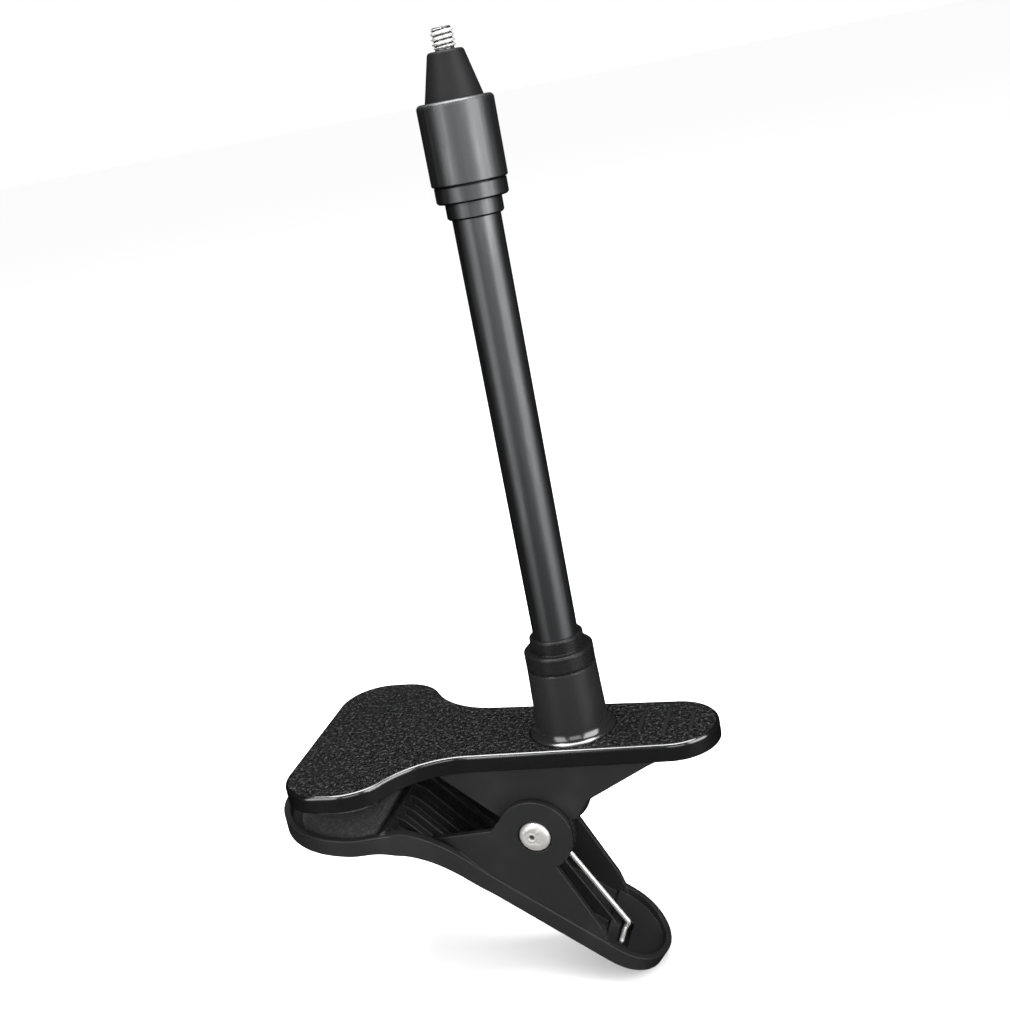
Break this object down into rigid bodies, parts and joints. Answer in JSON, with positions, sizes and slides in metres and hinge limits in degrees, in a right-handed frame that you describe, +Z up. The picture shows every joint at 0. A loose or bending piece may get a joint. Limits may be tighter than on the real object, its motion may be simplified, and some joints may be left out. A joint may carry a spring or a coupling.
{
  "type": "clip-on holder stand",
  "caption": "Spring clip with padded jaws carrying a straight upright pole, a lock collar and a tapered swivel nose with a threaded stud for a holder.",
  "frame": {"origin": "centre of the upper jaw's grip face, where the clip bears on what it is clamped to", "axes": "+Z up along the pole, +X from the nose of the clip towards its handle, +Y across the clip along the pivot pin"},
  "size_m": [0.1379, 0.074, 0.287],
  "materials": {
    "clip_plastic": "moulded, fine leather grain on the flat faces, smooth rounded rim",
    "grip_pad": "soft foamed rubber with a pebbled skin",
    "pole_metal": "satin graphite coating",
    "collar_metal": "satin graphite coating, slightly brighter",
    "cone_plastic": "fine matte",
    "bright_steel": "bright plated",
    "rivet_steel": "bright, slightly worn",
    "spring_steel": "drawn wire",
    "plain_steel": "zinc plated",
    "disc_plastic": "natural nylon"
  },
  "bodies": {
    "clip_body": {"upper_jaw": "clip_plastic", "upper_pad": "grip_pad", "pivot_pin": "rivet_steel", "pin_washer": "plain_steel", "torsion_spring": "spring_steel", "base_washer": "plain_steel"},
    "jaw": {"lower_jaw": "clip_plastic", "lower_pad": "grip_pad"},
    "mast": {"lower_ferrule": "clip_plastic", "pole_tube": "pole_metal", "upper_ferrule": "pole_metal", "base_nut": "plain_steel", "friction_disc": "disc_plastic"},
    "collar": {"lock_collar": "collar_metal"},
    "nose": {"swivel_cone": "cone_plastic", "mount_screw": "bright_steel"}
  },
  "joints": [
    {"name": "jaw_open", "type": "hinge", "parent": "clip_body", "child": "jaw", "pos_m": [0.05675, 0, -0.0169], "axis": [0, -1, 0], "range_deg": [0, 40], "stiffness_Nm_per_rad": 0.9, "springref_deg": -51.57, "deforming": ["torsion_spring"]},
    {"name": "mast_turn", "type": "hinge", "parent": "clip_body", "child": "mast", "pos_m": [0.0705, 0, 0.0316], "axis": [0, 0, 1], "range_deg": [-180, 180]},
    {"name": "collar_turn", "type": "hinge", "parent": "mast", "child": "collar", "pos_m": [0.0705, 0, 0.1816], "axis": [0, 0, 1], "continuous": true},
    {"name": "nose_turn", "type": "hinge", "parent": "mast", "child": "nose", "pos_m": [0.0705, 0, 0.2016], "axis": [0, 0, 1], "continuous": true}
  ]
}
